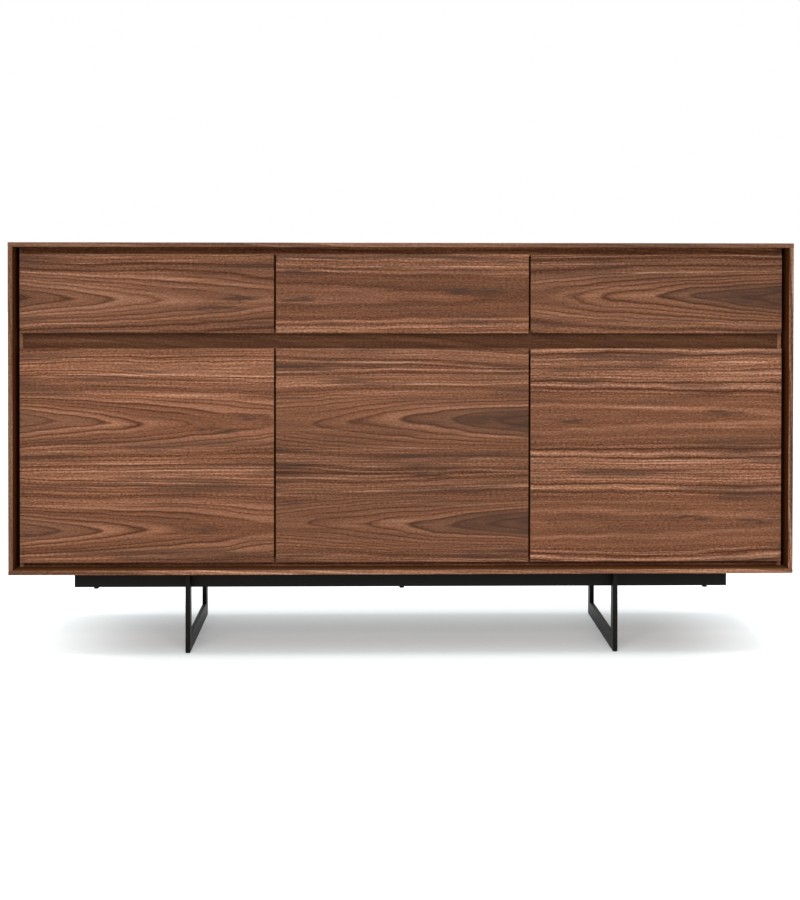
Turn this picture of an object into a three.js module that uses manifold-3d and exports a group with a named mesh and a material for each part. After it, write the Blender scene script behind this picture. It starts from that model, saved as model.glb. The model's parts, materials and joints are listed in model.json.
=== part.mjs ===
// Office credenza: a walnut case in a thin outer frame, with three drawers over three doors,
// all without handles and opened through a recessed channel, on a black steel base with two sled legs.
// Millimetres, +Z up. The front faces -Y, +X is to the right, and the floor under the middle is the origin.

import * as THREE from "three";
import { mergeVertices } from "three/addons/utils/BufferGeometryUtils.js";
import Module from "manifold-3d";

const wasm = await Module();
wasm.setup();

// Outer case
const CASE_WIDTH = 1600;
const CASE_DEPTH = 450;
const CASE_HEIGHT = 676;
const CASE_PANEL = 9.5;
const BACK_THICKNESS = 6;
const BACK_RECESS = 12;

// Drawer fronts and doors, and the shadow gaps round them
const COLUMNS = ["left", "centre", "right"];
const FRONT_THICKNESS = 18;
const FRONT_RECESS = 22;
const SIDE_GAP = 9.5;
const COLUMN_GAP = 4;
const TOP_GAP = 13.5;
const BOTTOM_GAP = 11.5;
const DRAWER_FRONT_HEIGHT = 162;
const CHANNEL_HEIGHT = 31;
const GRIP_DEPTH = 7;
const GRIP_HEIGHT = 12;

// Inner carcass behind the fronts
const CARCASS_GAP = 5.5;
const FRONT_LAP = 4;
const CLOSED_GAP = 3.5;
const BOARD_SETBACK = 2;
const WALL_SETBACK = 12;
const RAIL_DEPTH = 28;
const RAIL_ABOVE_CHANNEL = 10;
const RAIL_BELOW_CHANNEL = 17;
const INNER_PANEL = 18;
const SHELF_THICKNESS = 16;
const SHELF_SETBACK = 26;
const SHELF_UNDERSIDE = 206;
const SHELF_HOUSING = 4;

// Drawer boxes
const BOX_WALL = 12;
const BOX_DEPTH = 372;
const BOX_ABOVE_RAIL = 4;
const BOX_BELOW_TOP = 11;
const BOX_BOTTOM = 6;
const BOX_BOTTOM_RAISE = 10;
const BOX_GROOVE = 6;

// Telescopic drawer slides, three nested steel channels on each side of a box
const SLIDE_LENGTH = 350;
const SLIDE_HEIGHT = 45;
const SLIDE_WIDTH = 12.5;
const SLIDE_STEEL = 1.25;
const SLIDE_SETBACK = 6;
const SLIDE_RUN = 0.3;
const SLIDE_STEP = 2;
const SLIDE_SCREW_RADIUS = 2.3;
const SLIDE_SCREW_MARGIN = 35;

// Pivot hinges let into the top and bottom corner of each door, behind a lip of its face
const PIVOT_FROM_EDGE = 8;
const PIVOT_FROM_FACE = 8;
const PIN_RADIUS = 2.5;
const PIN_PLAY = 0.3;
const HINGE_STEEL = 2.5;
const HINGE_PLAY = 0.3;
const HINGE_ROOM = 0.5;
const NOSE_RADIUS = 5;
const LEAF_TAPER = 8;
const FOOT_WIDTH = 24;
const FOOT_DEPTH = 17;
const FOOT_CLEAR = 0.5;
const SOCKET_LENGTH = 30;
const SOCKET_WIDTH = 8;
const SOCKET_THICKNESS = 4;
const HINGE_SCREW_RADIUS = 1.7;
const HINGE_SCREW_MARGIN = 6;
const HINGE_SCREW_PITCH = 9;

// Steel base
const BASE_HEIGHT = 167;
const LEG_SPREAD = 890;
const LEG_SETBACK = 30;
const LEG_DEPTH = 390;
const LEG_BAR = 10;
const LEG_WIDTH = 32;
const LEG_CORNER = 4;
const LEG_ROUND = 2.5;
const LEG_ROUND_STEPS = 3;
const BASE_RAIL_LENGTH = 1350;
const BASE_RAIL_HEIGHT = 36;
const BASE_RAIL_DEPTH = 30;
const BASE_RAIL_WALL = 2;

// Fit of glued, screwed and welded pieces, the eased arris of boards, and the steps of a round
const JOINT = 0.1;
const LOOSE = 0.2;
const EASE = 0.8;
const ROUND_STEPS = 24;

// Places worked out from the sizes. Heights of the case are counted from its underside.
const frontEdge = -CASE_DEPTH / 2;
const faceY = frontEdge + FRONT_RECESS;
const faceBack = faceY + FRONT_THICKNESS;
const stileY = faceBack + CLOSED_GAP;
const boardY = stileY + BOARD_SETBACK;
const railBack = boardY + RAIL_DEPTH;
const wallY = stileY + WALL_SETBACK;
const backY = CASE_DEPTH / 2 - BACK_RECESS - BACK_THICKNESS;

const caseInside = CASE_WIDTH / 2 - CASE_PANEL;
const frontWidth = (2 * (caseInside - SIDE_GAP) - (COLUMNS.length - 1) * COLUMN_GAP) / COLUMNS.length;
const columnPitch = frontWidth + COLUMN_GAP;
const bayHalf = frontWidth / 2 - FRONT_LAP;
const partition = COLUMN_GAP + 2 * FRONT_LAP;
const carcassInside = caseInside - SIDE_GAP - FRONT_LAP;
const carcassOutside = caseInside - CARCASS_GAP;

const caseFloor = CASE_PANEL;
const caseCeiling = CASE_HEIGHT - CASE_PANEL;
const bayFloor = caseFloor + INNER_PANEL;
const bayCeiling = caseCeiling - INNER_PANEL;
const drawerTop = caseCeiling - TOP_GAP;
const drawerBottom = drawerTop - DRAWER_FRONT_HEIGHT;
const doorTop = drawerBottom - CHANNEL_HEIGHT;
const doorBottom = caseFloor + BOTTOM_GAP;
const railTop = drawerBottom + RAIL_ABOVE_CHANNEL;
const railBottom = doorTop - RAIL_BELOW_CHANNEL;
const shelfZ = bayFloor + SHELF_UNDERSIDE;

const boxHalf = bayHalf - SLIDE_WIDTH;
const boxBottom = railTop + BOX_ABOVE_RAIL;
const boxTop = bayCeiling - BOX_BELOW_TOP;
const boxBack = faceBack + BOX_DEPTH;
const slideY = wallY + SLIDE_SETBACK;
const slideZ = (boxBottom + boxTop) / 2;
const pivotY = faceY + PIVOT_FROM_FACE;
const footNear = FRONT_LAP - PIVOT_FROM_EDGE + FOOT_CLEAR;
const footFar = footNear + FOOT_WIDTH;
const socketFar = SOCKET_LENGTH - SOCKET_WIDTH / 2;
const notchDepth = HINGE_STEEL + 2 * HINGE_PLAY;
const notchFar = Math.max(footFar, socketFar) + HINGE_ROOM;

// A door hangs on its left edge where its hand is +1 and on its right edge where it is -1.
const columnX = (index) => (index - (COLUMNS.length - 1) / 2) * columnPitch;
const doorHand = (index) => (index < COLUMNS.length - 1 ? 1 : -1);
const pinX = (hand) => hand * (PIVOT_FROM_EDGE - frontWidth / 2);

const legFront = frontEdge + LEG_SETBACK;
const legBack = legFront + LEG_DEPTH;

// Finishes
const WALNUT = { color: 0x82553c, roughness: 0.55, metalness: 0 };
const WALNUT_INSIDE = { color: 0x5f3d2a, roughness: 0.6, metalness: 0 };
const DRAWER_WOOD = { color: 0xc9ab83, roughness: 0.6, metalness: 0 };
const BLACK_STEEL = { color: 0x232120, roughness: 0.45, metalness: 0.6 };
const PLATED_STEEL = { color: 0x9b9c9e, roughness: 0.35, metalness: 0.9 };

// Shapes and extrusions along each axis

function outline(points) {
  return new THREE.Shape(points.map(([a, b]) => new THREE.Vector2(a, b)));
}

function rectangle([a0, a1], [b0, b1]) {
  return outline([[a0, b0], [a1, b0], [a1, b1], [a0, b1]]);
}

// A straight extrusion from 0 to length along its own Z, with an eased or rounded arris round both ends.
function extrude(shape, length, ease, steps) {
  const geometry = new THREE.ExtrudeGeometry(shape, {
    depth: length - 2 * ease,
    curveSegments: ROUND_STEPS,
    bevelEnabled: ease > 0,
    bevelThickness: ease,
    bevelSize: ease,
    bevelOffset: -ease,
    bevelSegments: steps,
  });
  return geometry.translate(0, 0, ease);
}

const axisX = new THREE.Vector3(1, 0, 0);
const axisY = new THREE.Vector3(0, 1, 0);
const axisZ = new THREE.Vector3(0, 0, 1);
const turnToX = new THREE.Matrix4().makeBasis(axisY, axisZ, axisX);
const turnToY = new THREE.Matrix4().makeBasis(axisX, axisZ, axisY.clone().negate());

// The outline lies in Y and Z.
function alongX(shape, [x0, x1], ease = 0, steps = 1) {
  return extrude(shape, x1 - x0, ease, steps).applyMatrix4(turnToX).translate(x0, 0, 0);
}

// The outline lies in X and Z.
function alongY(shape, [y0, y1], ease = 0, steps = 1) {
  return extrude(shape, y1 - y0, ease, steps).applyMatrix4(turnToY).translate(0, y1, 0);
}

// The outline lies in X and Y.
function alongZ(shape, [z0, z1], ease = 0, steps = 1) {
  return extrude(shape, z1 - z0, ease, steps).translate(0, 0, z0);
}

const widened = ([a, b], by) => [a - by, b + by];
const ordered = (a, b) => (a < b ? [a, b] : [b, a]);

function block(x, y, z) {
  return alongZ(rectangle(x, y), z);
}

// A block that stops short of its neighbours by the width of a joint.
function fitted(x, y, z) {
  return block(widened(x, -JOINT), widened(y, -JOINT), widened(z, -JOINT));
}

function cylinderZ(radius, x, y, [z0, z1]) {
  const upright = new THREE.CylinderGeometry(radius, radius, z1 - z0, ROUND_STEPS).rotateX(Math.PI / 2);
  return upright.translate(x, y, (z0 + z1) / 2);
}

// Joins and cuts

function solid(geometry) {
  const bare = geometry.clone();
  bare.deleteAttribute("normal");
  bare.deleteAttribute("uv");
  const merged = mergeVertices(bare);
  const vertProperties = merged.attributes.position.array;
  const triVerts = new Uint32Array(merged.index.array);
  return new wasm.Manifold(new wasm.Mesh({ numProp: 3, vertProperties, triVerts }));
}

function surface(body) {
  const mesh = body.getMesh();
  const geometry = new THREE.BufferGeometry();
  geometry.setAttribute("position", new THREE.BufferAttribute(mesh.vertProperties, 3));
  geometry.setIndex(new THREE.BufferAttribute(mesh.triVerts, 1));
  const faceted = geometry.toNonIndexed();
  faceted.computeVertexNormals();
  return faceted;
}

function cut(geometry, tools) {
  return surface(tools.reduce((rest, tool) => rest.subtract(solid(tool)), solid(geometry)));
}

function join(geometries) {
  return surface(geometries.map(solid).reduce((whole, next) => whole.add(next)));
}

function piece(group, name, geometry, finish) {
  const mesh = new THREE.Mesh(geometry, new THREE.MeshStandardMaterial(finish));
  mesh.name = name;
  group.add(mesh);
}

// Outer frame: top and bottom run the full width, with the sides butted between them.
function makeOuterCase(group) {
  const acrossWidth = [-CASE_WIDTH / 2, CASE_WIDTH / 2];
  const acrossDepth = [frontEdge, CASE_DEPTH / 2];
  const lid = rectangle(acrossWidth, acrossDepth);
  piece(group, "top_panel", alongZ(lid, [caseCeiling, CASE_HEIGHT], EASE), WALNUT);
  piece(group, "bottom_panel", alongZ(lid, [0, caseFloor], EASE), WALNUT);
  const side = rectangle(acrossDepth, [caseFloor + JOINT, caseCeiling - JOINT]);
  piece(group, "left_side_panel", alongX(side, [-CASE_WIDTH / 2, -caseInside], EASE), WALNUT);
  piece(group, "right_side_panel", alongX(side, [caseInside, CASE_WIDTH / 2], EASE), WALNUT);
  const back = fitted([-caseInside, caseInside], [backY, backY + BACK_THICKNESS], [caseFloor, caseCeiling]);
  piece(group, "back_panel", back, WALNUT_INSIDE);
}

// The groove in a wall that a shelf's end sits in, from the shelf's front edge to the back of the case.
function shelfHousing(x) {
  const front = wallY + SHELF_SETBACK - LOOSE;
  return block(x, [front, backY + JOINT], [shelfZ - LOOSE, shelfZ + SHELF_THICKNESS + LOOSE]);
}

// Rebates in a board's front edge that the hinge brackets of all doors step through, from the doors' edge
// to the board's face. up is +1 at the doors' top edge and -1 at their bottom edge.
function hingeRebates(doorEdge, board, up) {
  return COLUMNS.map((column, index) => {
    const hand = doorHand(index);
    const [near, far] = widened([footNear, footFar], HINGE_ROOM).map((u) => columnX(index) + pinX(hand) + hand * u);
    const leafSide = doorEdge + up * (HINGE_ROOM - HINGE_PLAY);
    return block(ordered(near, far), [boardY - JOINT, wallY + JOINT], ordered(leafSide, board - up * JOINT));
  });
}

// Inner carcass: walls and floor that carry the drawers, doors and shelves, and the rail of the finger channel.
function makeCarcass(group) {
  const inside = [-carcassInside, carcassInside];
  const behindStile = [boardY, backY];
  piece(group, "inner_top", fitted(inside, behindStile, [bayCeiling, caseCeiling]), WALNUT_INSIDE);
  const floor = fitted(inside, behindStile, [caseFloor, bayFloor]);
  piece(group, "inner_bottom", cut(floor, hingeRebates(doorBottom, bayFloor, -1)), WALNUT_INSIDE);

  const rail = block(widened(inside, -JOINT), [boardY, railBack], [railBottom, railTop]);
  piece(group, "finger_rail", cut(rail, hingeRebates(doorTop, railBottom, 1)), WALNUT_INSIDE);
  const notch = block(
    [-CASE_WIDTH / 2, CASE_WIDTH / 2],
    [frontEdge, railBack + JOINT],
    [railBottom - JOINT, railTop + JOINT],
  );

  for (const [name, hand] of [["left", -1], ["right", 1]]) {
    const sideX = ordered(hand * carcassInside, hand * carcassOutside);
    const sideHousing = shelfHousing(ordered(hand * (carcassInside - JOINT), hand * (carcassInside + SHELF_HOUSING)));
    const side = fitted(sideX, [stileY, backY], [caseFloor, caseCeiling]);
    piece(group, name + "_inner_side", cut(side, [sideHousing]), WALNUT_INSIDE);

    const wallOuter = hand * (columnPitch / 2 + partition / 2);
    const wallInner = hand * (columnPitch / 2 - partition / 2);
    const wall = fitted(ordered(wallOuter, wallInner), [wallY, backY], [bayFloor, bayCeiling]);
    const wallHousing = shelfHousing(ordered(wallOuter + hand * JOINT, wallOuter - hand * SHELF_HOUSING));
    piece(group, name + "_partition", cut(wall, [notch, wallHousing]), WALNUT_INSIDE);

    const shelfEnds = [hand * (carcassInside + SHELF_HOUSING), wallOuter - hand * SHELF_HOUSING];
    const shelf = block(
      widened(ordered(...shelfEnds), -LOOSE),
      [wallY + SHELF_SETBACK, backY - JOINT],
      [shelfZ, shelfZ + SHELF_THICKNESS],
    );
    piece(group, name + "_shelf", shelf, WALNUT_INSIDE);
  }
}

// Section of a drawer front or door in Y and Z. The edge at the finger channel is bevelled behind for the fingers.
function frontSection(channelEdge, farEdge) {
  const inward = Math.sign(farEdge - channelEdge);
  return outline([
    [faceY + EASE, channelEdge],
    [faceBack - GRIP_DEPTH, channelEdge],
    [faceBack, channelEdge + inward * GRIP_HEIGHT],
    [faceBack, farEdge - inward * EASE],
    [faceBack - EASE, farEdge],
    [faceY + EASE, farEdge],
    [faceY, farEdge - inward * EASE],
    [faceY, channelEdge + inward * EASE],
  ]);
}

const acrossFront = [-frontWidth / 2, frontWidth / 2];

// Drawer box: four walls with the bottom let into grooves, and the back wall standing on the bottom.
function makeDrawer(group, column) {
  const front = alongX(frontSection(drawerBottom, drawerTop), acrossFront, EASE);
  piece(group, column + "_drawer_front", front, WALNUT);

  const insideX = [-boxHalf + BOX_WALL, boxHalf - BOX_WALL];
  const insideY = [faceBack + BOX_WALL, boxBack - BOX_WALL];
  const bottomZ = boxBottom + BOX_BOTTOM_RAISE;
  const walls = fitted([-boxHalf, boxHalf], [faceBack, boxBack], [boxBottom, boxTop]);
  const hollow = block(insideX, insideY, [boxBottom - JOINT, boxTop + JOINT]);
  const bottomX = widened(insideX, BOX_GROOVE);
  const bottomY = [insideY[0] - BOX_GROOVE, boxBack];
  const bottomHeight = [bottomZ, bottomZ + BOX_BOTTOM];
  const groove = block(widened(bottomX, LOOSE), widened(bottomY, LOOSE), widened(bottomHeight, LOOSE));
  const underBack = block(insideX, [insideY[1] - JOINT, boxBack + JOINT], [boxBottom - JOINT, bottomZ]);
  piece(group, column + "_drawer_box", cut(walls, [hollow, groove, underBack]), DRAWER_WOOD);
  piece(group, column + "_drawer_bottom", block(bottomX, widened(bottomY, -JOINT), bottomHeight), DRAWER_WOOD);
}

// A channel section: a web at one side and two flanges that reach from it, in X and Z.
function channelSection(webX, flangeX, halfHeight) {
  const inward = Math.sign(flangeX - webX);
  const webInner = webX + inward * SLIDE_STEEL;
  const flangeInner = halfHeight - SLIDE_STEEL;
  return outline([
    [webX, slideZ - halfHeight],
    [flangeX, slideZ - halfHeight],
    [flangeX, slideZ - flangeInner],
    [webInner, slideZ - flangeInner],
    [webInner, slideZ + flangeInner],
    [flangeX, slideZ + flangeInner],
    [flangeX, slideZ + halfHeight],
    [webX, slideZ + halfHeight],
  ]);
}

// One slide channel with a screw hole through its web near each end.
function slideChannel(webX, flangeX, halfHeight) {
  const run = [slideY, slideY + SLIDE_LENGTH];
  const channel = alongY(channelSection(webX, flangeX, halfHeight), run);
  const holes = [run[0] + SLIDE_SCREW_MARGIN, run[1] - SLIDE_SCREW_MARGIN].map((y) => {
    const hole = new THREE.CylinderGeometry(SLIDE_SCREW_RADIUS, SLIDE_SCREW_RADIUS, 3 * SLIDE_STEEL, ROUND_STEPS / 2);
    return hole.rotateZ(Math.PI / 2).translate(webX, y, slideZ);
  });
  return cut(channel, holes);
}

// The cabinet channel holds the middle one, which holds the drawer's own, with room for the balls between.
function makeSlides(group, column) {
  for (const [name, hand] of [["left", -1], ["right", 1]]) {
    const place = column + "_drawer_" + name;
    const fromWall = (distance) => hand * (bayHalf - distance);
    const cabinetHalf = SLIDE_HEIGHT / 2;
    const middleHalf = cabinetHalf - SLIDE_STEEL - SLIDE_RUN;
    const drawerHalf = middleHalf - SLIDE_STEEL - SLIDE_RUN;
    const flangeTip = SLIDE_WIDTH - SLIDE_STEP;
    const cabinet = slideChannel(fromWall(JOINT), fromWall(flangeTip - SLIDE_STEP), cabinetHalf);
    piece(group, place + "_cabinet_slide", cabinet, PLATED_STEEL);
    const middle = slideChannel(fromWall(SLIDE_STEP), fromWall(flangeTip), middleHalf);
    piece(group, place + "_middle_slide", middle, PLATED_STEEL);
    const inner = slideChannel(fromWall(SLIDE_WIDTH), fromWall(2 * SLIDE_STEP), drawerHalf);
    piece(group, place + "_drawer_slide", inner, PLATED_STEEL);
  }
}

// Plan of a hinge bracket's leaf: a rounded nose round the pin, widening back to the end of the board's rebate.
function leafPlan(pivotX, hand) {
  const shape = new THREE.Shape();
  shape.moveTo(footNear, wallY - JOINT);
  shape.lineTo(footFar, wallY - JOINT);
  shape.lineTo(footFar, wallY - LEAF_TAPER);
  shape.lineTo(NOSE_RADIUS, pivotY);
  shape.absarc(0, pivotY, NOSE_RADIUS, 0, Math.PI, true);
  shape.lineTo(footNear, stileY - FOOT_CLEAR);
  return outline(shape.getPoints(ROUND_STEPS / 2).map((p) => [pivotX + hand * p.x, p.y]));
}

// Screw holes through a hinge plate, at distances from the pin towards the middle of the door.
function hingeScrewHoles(pivotX, hand, distances, y, z) {
  return distances.map((u) => cylinderZ(HINGE_SCREW_RADIUS, pivotX + hand * u, y, widened(z, JOINT)));
}

// A cranked bracket with a pin: the leaf lies in the door's notch, the web steps through the board's rebate,
// and the foot is screwed to the board's face inside the bay.
// seat is the height of the notch's floor and board that of the board's face.
// up is +1 at the door's top edge and -1 at its bottom edge.
function hingeBracket(pivotX, hand, seat, board, up) {
  const width = ordered(pivotX + hand * footNear, pivotX + hand * footFar);
  const webFront = wallY - JOINT - HINGE_STEEL;
  const leafBack = seat + up * (HINGE_PLAY + HINGE_STEEL);
  const footFace = board - up * JOINT;
  const footFree = footFace - up * HINGE_STEEL;
  const footZ = ordered(footFree, footFace);
  const pinZ = ordered(seat + up * (HINGE_PLAY + HINGE_STEEL / 2), seat + up * (HINGE_PLAY - SOCKET_THICKNESS));
  const bracket = join([
    alongZ(leafPlan(pivotX, hand), ordered(seat + up * HINGE_PLAY, leafBack)),
    block(width, [webFront, wallY - JOINT], ordered(leafBack, footFree)),
    block(width, [webFront, wallY + FOOT_DEPTH], footZ),
    cylinderZ(PIN_RADIUS, pivotX, pivotY, pinZ),
  ]);
  const screws = [footNear + HINGE_SCREW_MARGIN, footFar - HINGE_SCREW_MARGIN];
  return cut(bracket, hingeScrewHoles(pivotX, hand, screws, wallY + FOOT_DEPTH / 2, footZ));
}

// The socket plate's block, widened by the play of its recess where the recess is cut.
function socketPlate(pivotX, hand, seat, up, play) {
  const x = ordered(pivotX - hand * (SOCKET_WIDTH / 2), pivotX + hand * socketFar);
  const y = [pivotY - SOCKET_WIDTH / 2, pivotY + SOCKET_WIDTH / 2];
  const z = ordered(seat + up * play, seat - up * (SOCKET_THICKNESS + play));
  return block(widened(x, play), widened(y, play), z);
}

// The plate let into the floor of the door's notch, with an eye for the pin.
function hingeSocket(pivotX, hand, seat, up) {
  const z = ordered(seat, seat - up * SOCKET_THICKNESS);
  const eye = cylinderZ(PIN_RADIUS + PIN_PLAY, pivotX, pivotY, widened(z, LOOSE));
  const lastScrew = socketFar - HINGE_SCREW_MARGIN;
  const screws = [lastScrew - HINGE_SCREW_PITCH, lastScrew];
  return cut(socketPlate(pivotX, hand, seat, up, 0), [eye, ...hingeScrewHoles(pivotX, hand, screws, pivotY, z)]);
}

// The notch in a door's edge that turns about the bracket's leaf, open to the hinge edge and to the back.
function leafNotch(pivotX, hand, seat, up) {
  const x = ordered(pivotX - hand * (PIVOT_FROM_EDGE + JOINT), pivotX + hand * notchFar);
  const y = [pivotY - NOSE_RADIUS - HINGE_ROOM, faceBack + JOINT];
  return block(x, y, ordered(seat, seat + up * (notchDepth + JOINT)));
}

function makeDoor(group, column, hand) {
  const pivotX = pinX(hand);
  const slab = alongX(frontSection(doorTop, doorBottom), acrossFront, EASE);
  const ends = [
    ["top", doorTop - notchDepth, railBottom, 1],
    ["bottom", doorBottom + notchDepth, bayFloor, -1],
  ];
  const recesses = ends.flatMap(([, seat, , up]) => [
    leafNotch(pivotX, hand, seat, up),
    socketPlate(pivotX, hand, seat, up, LOOSE),
  ]);
  piece(group, column + "_door", cut(slab, recesses), WALNUT);
  for (const [place, seat, board, up] of ends) {
    const hinge = column + "_door_" + place + "_hinge";
    piece(group, hinge + "_bracket", hingeBracket(pivotX, hand, seat, board, up), BLACK_STEEL);
    piece(group, hinge + "_socket", hingeSocket(pivotX, hand, seat, up), BLACK_STEEL);
  }
}

// Sled leg: a U of flat bar with rounded edges, its posts under the case and its runner on the floor.
function legOutline() {
  const top = BASE_HEIGHT - JOINT;
  const shape = new THREE.Shape();
  shape.moveTo(legFront, top);
  shape.lineTo(legFront, LEG_CORNER);
  shape.absarc(legFront + LEG_CORNER, LEG_CORNER, LEG_CORNER, Math.PI, 1.5 * Math.PI, false);
  shape.absarc(legBack - LEG_CORNER, LEG_CORNER, LEG_CORNER, 1.5 * Math.PI, 2 * Math.PI, false);
  shape.lineTo(legBack, top);
  shape.lineTo(legBack - LEG_WIDTH, top);
  shape.lineTo(legBack - LEG_WIDTH, LEG_WIDTH);
  shape.lineTo(legFront + LEG_WIDTH, LEG_WIDTH);
  shape.lineTo(legFront + LEG_WIDTH, top);
  return outline(shape.getPoints(ROUND_STEPS / 6).map((p) => [p.x, p.y]));
}

// Two rectangular tubes carry the case, each welded to the posts of both legs.
function makeBase(group) {
  const outer = LEG_SPREAD / 2;
  const leg = (x) => alongX(legOutline(), x, LEG_ROUND, LEG_ROUND_STEPS);
  piece(group, "left_leg", leg([-outer, LEG_BAR - outer]), BLACK_STEEL);
  piece(group, "right_leg", leg([outer - LEG_BAR, outer]), BLACK_STEEL);

  const railZ = [BASE_HEIGHT - BASE_RAIL_HEIGHT, BASE_HEIGHT - JOINT];
  const frontRail = legFront + LEG_WIDTH + JOINT;
  const rearRail = legBack - LEG_WIDTH - JOINT - BASE_RAIL_DEPTH;
  for (const [name, y] of [["front_base_rail", frontRail], ["rear_base_rail", rearRail]]) {
    const railDepth = [y, y + BASE_RAIL_DEPTH];
    const section = rectangle(railDepth, railZ);
    section.holes.push(rectangle(widened(railDepth, -BASE_RAIL_WALL), widened(railZ, -BASE_RAIL_WALL)));
    piece(group, name, alongX(section, [-BASE_RAIL_LENGTH / 2, BASE_RAIL_LENGTH / 2]), BLACK_STEEL);
  }
}

const credenza = new THREE.Group();
const base = new THREE.Group();
makeBase(base);
const upper = new THREE.Group();
upper.position.z = BASE_HEIGHT;
makeOuterCase(upper);
makeCarcass(upper);
COLUMNS.forEach((column, index) => {
  const bay = new THREE.Group();
  bay.position.x = columnX(index);
  makeDrawer(bay, column);
  makeSlides(bay, column);
  makeDoor(bay, column, doorHand(index));
  upper.add(bay);
});
credenza.add(base, upper);

export default credenza;
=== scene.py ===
"""Office credenza in figured walnut on a black steel base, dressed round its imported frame."""
import json
import math

import bpy
from bpy.props import FloatProperty, FloatVectorProperty, IntProperty, PointerProperty
from mathutils import Matrix, Vector


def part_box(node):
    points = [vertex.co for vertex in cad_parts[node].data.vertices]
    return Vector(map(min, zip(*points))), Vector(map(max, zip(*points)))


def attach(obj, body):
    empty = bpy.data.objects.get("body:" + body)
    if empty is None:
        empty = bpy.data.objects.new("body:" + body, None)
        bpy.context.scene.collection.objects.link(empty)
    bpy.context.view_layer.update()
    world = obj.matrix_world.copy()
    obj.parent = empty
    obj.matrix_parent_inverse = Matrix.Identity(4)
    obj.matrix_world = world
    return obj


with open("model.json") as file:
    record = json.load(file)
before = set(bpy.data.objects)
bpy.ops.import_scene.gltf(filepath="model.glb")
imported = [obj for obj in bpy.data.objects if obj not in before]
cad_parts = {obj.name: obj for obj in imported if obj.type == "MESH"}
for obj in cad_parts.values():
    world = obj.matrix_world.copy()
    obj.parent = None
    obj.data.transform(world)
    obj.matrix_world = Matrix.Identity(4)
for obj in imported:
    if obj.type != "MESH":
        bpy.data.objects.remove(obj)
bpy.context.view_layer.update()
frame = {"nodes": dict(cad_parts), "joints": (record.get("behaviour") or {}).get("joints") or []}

bl_info = {
    "name": "Office Credenza",
    "version": (1, 0, 0),
    "blender": (4, 5, 0),
    "location": "View3D > Sidebar > Credenza",
    "description": "Dresses the frame of a walnut credenza with finishes, fittings and a photo stage",
    "category": "Object",
}

COLUMNS = ("left", "centre", "right")
SIDES = {"left": -1, "right": 1}
ENDS = ("top", "bottom")
BASE_RAILS = ("front_base_rail", "rear_base_rail")
NODES = frame["nodes"]


# Colours and sizes

def linear(red, green, blue):
    """A colour written in 0 to 255 display values, as the linear values that shaders take."""
    def one(value):
        value = value / 255.0
        return value / 12.92 if value <= 0.04045 else ((value + 0.055) / 1.055) ** 2.4
    return (one(red), one(green), one(blue))


def opaque(colour):
    return (*colour, 1.0)


def tint(name, description, default):
    return FloatVectorProperty(name=name, description=description, subtype="COLOR", size=3,
                               min=0.0, max=1.0, default=default)


def length(name, description, default):
    return FloatProperty(name=name, description=description, unit="LENGTH", min=0.0, default=default)


class CredenzaColours(bpy.types.PropertyGroup):
    """Colours of the finishes."""
    walnut_dark: tint("Walnut, dark", "Late wood lines", linear(68, 38, 22))
    walnut_brown: tint("Walnut, brown", "Shaded part of the grain", linear(96, 59, 39))
    walnut_mid: tint("Walnut, middle", "Main tone of the veneer", linear(123, 80, 56))
    walnut_light: tint("Walnut, light", "Light streaks", linear(151, 104, 78))
    walnut_pale: tint("Walnut, pale", "Palest streaks", linear(184, 138, 111))
    walnut_smoke: tint("Walnut, smoke", "Grey brown heart wood", linear(70, 48, 37))
    # Painted shade: dark colour on the frame's inner faces and the partitions' front edges, for the shade in
    # the reveals and in the gaps between the columns
    walnut_stain: tint("Walnut, stain", "Dark stain inside the frame", linear(82, 42, 17))
    # Painted shade on the top face of the frame's bottom panel, inside the reveal below the doors
    floor_stain: tint("Walnut, floor stain", "Stain on the frame's bottom", linear(94, 57, 31))
    box_wood: tint("Drawer wood", "Clear pale hardwood of the drawer boxes", linear(205, 174, 132))
    box_wood_dark: tint("Drawer wood, dark", "Grain of the drawer boxes", linear(176, 139, 97))
    black_steel: tint("Black steel", "Powder coat of the base", linear(15, 12, 9))
    plated_steel: tint("Plated steel", "Zinc plate of the slides", linear(150, 152, 155))
    black_plastic: tint("Black plastic", "Tube caps and door catches", linear(30, 30, 31))
    floor: tint("Floor", "Plain pale floor", (0.80, 0.80, 0.80))


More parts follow.
